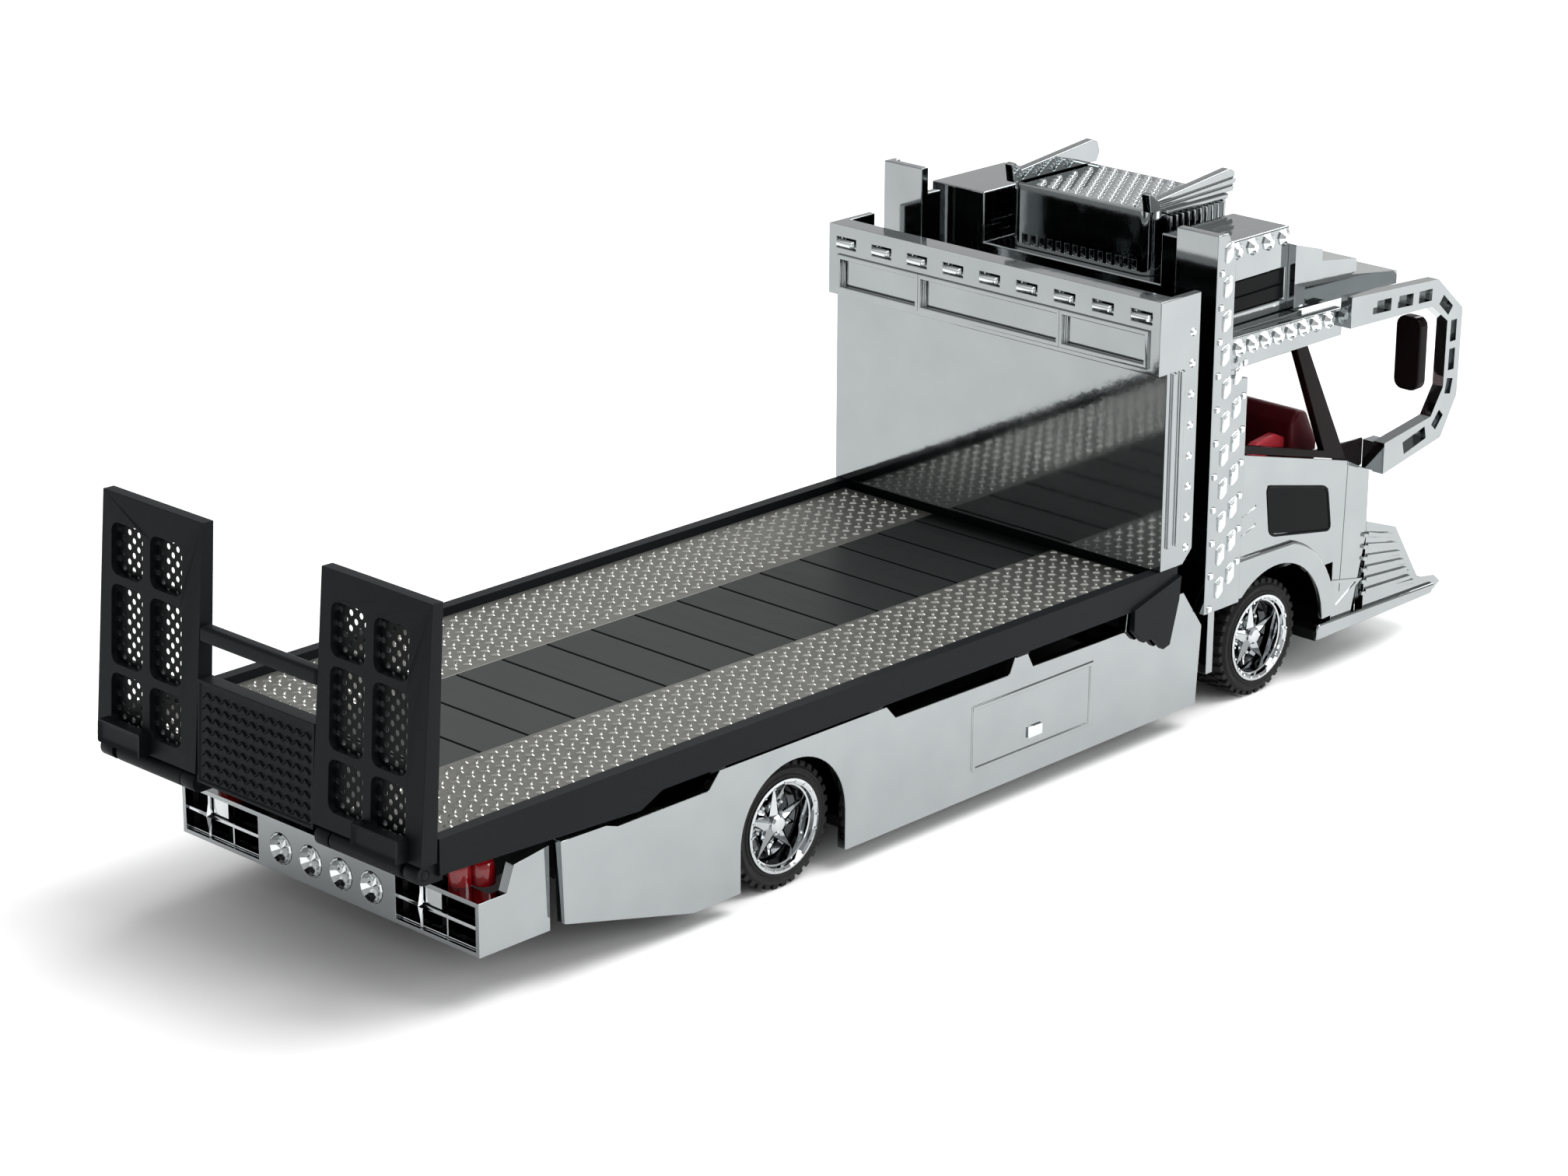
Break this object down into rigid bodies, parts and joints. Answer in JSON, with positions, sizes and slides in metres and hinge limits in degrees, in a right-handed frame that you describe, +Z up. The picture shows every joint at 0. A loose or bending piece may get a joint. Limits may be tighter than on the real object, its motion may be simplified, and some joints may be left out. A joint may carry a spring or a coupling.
{
  "type": "flatbed truck model",
  "caption": "Scale model of a flatbed car transporter lorry with upright loading ramps, a mirrored headboard, a plated cab, rolling wheels and a tilting bed.",
  "frame": {"origin": "on the ground, under the middle of the model's overall box", "axes": "+X forward to the cab, +Y to the vehicle's left, +Z up"},
  "size_m": [0.128, 0.041, 0.046],
  "materials": {
    "bright_plating": "mirror-bright vacuum plating",
    "wheel_plating": "mirror-bright plated wheel",
    "tread_plating": "plated, with raised tread bumps",
    "lamp_reflector": "faceted lamp reflector",
    "track_plate": "dull steel tread plate with bright raised dashes",
    "plank_black": "matte, grooved into planks",
    "black_paint": "satin blue-black paint",
    "black_mesh": "satin black perforated sheet",
    "dark_chassis": "matte moulded chassis",
    "steel_pins": "turned steel",
    "dark_trim": "gloss black trim",
    "dark_glazing": "gloss black window",
    "clear_glazing": "clear moulded windscreen",
    "red_interior": "moulded deep red interior",
    "red_lens": "translucent deep red lens",
    "tyre_rubber": "black rubber with tread blocks"
  },
  "bodies": {
    "chassis": {"chassis_base": "dark_chassis", "frame_rails": "dark_chassis", "axle_blocks": "dark_chassis", "base_screws": "steel_pins", "tilt_pin": "steel_pins", "skirt_left": "bright_plating", "skirt_right": "bright_plating", "storage_handles": "bright_plating", "rear_bumper": "bright_plating", "lamp_cells": "lamp_reflector", "round_tail_lamps": "lamp_reflector", "red_side_lamps": "red_lens", "cab_shell": "bright_plating", "window_frames": "dark_trim", "windscreen": "clear_glazing", "low_door_windows": "dark_glazing", "seats": "red_interior", "dashboard": "red_interior", "steering_wheel": "red_interior", "corner_column_left": "tread_plating", "corner_column_right": "tread_plating", "roof_beam_left": "bright_plating", "roof_beam_right": "bright_plating", "beam_rosettes": "lamp_reflector", "roof_platform": "bright_plating", "platform_rosettes": "lamp_reflector", "roof_visor": "bright_plating", "roof_box": "tread_plating", "roof_box_fins": "bright_plating", "mirror_arm_left": "bright_plating", "mirror_arm_right": "bright_plating", "mirror_left": "dark_trim", "mirror_right": "dark_trim", "front_bumper": "bright_plating", "grille": "bright_plating", "headlamps": "lamp_reflector"},
    "rear_wheels": {"rear_axle": "steel_pins", "rear_rim_left": "wheel_plating", "rear_rim_right": "wheel_plating", "rear_tyre_left": "tyre_rubber", "rear_tyre_right": "tyre_rubber"},
    "front_wheels": {"front_axle": "steel_pins", "front_rim_left": "wheel_plating", "front_rim_right": "wheel_plating", "front_tyre_left": "tyre_rubber", "front_tyre_right": "tyre_rubber"},
    "bed": {"bed_frame": "black_paint", "track_left": "track_plate", "track_right": "track_plate", "deck_planks": "plank_black", "headboard": "bright_plating", "band_lamp_strip": "lamp_reflector", "ramp_hinge_pins": "steel_pins"},
    "ramps": {"ramp_left": "black_paint", "ramp_right": "black_paint", "ramp_mesh_left": "black_mesh", "ramp_mesh_right": "black_mesh", "ramp_panel": "black_paint", "ramp_bar": "black_paint"}
  },
  "joints": [
    {"name": "rear_wheel_spin", "type": "hinge", "parent": "chassis", "child": "rear_wheels", "pos_m": [-0.02328, 0, 0.0054], "axis": [0, 1, 0], "continuous": true},
    {"name": "front_wheel_spin", "type": "hinge", "parent": "chassis", "child": "front_wheels", "pos_m": [0.03802, 0, 0.0054], "axis": [0, 1, 0], "continuous": true},
    {"name": "bed_tilt", "type": "hinge", "parent": "chassis", "child": "bed", "pos_m": [-0.05263, 0, 0.0096], "axis": [0, -1, 0], "range_deg": [0, 12]},
    {"name": "ramp_fold", "type": "hinge", "parent": "bed", "child": "ramps", "pos_m": [-0.06213, 0, 0.0134], "axis": [0, -1, 0], "range_deg": [0, 110]}
  ]
}
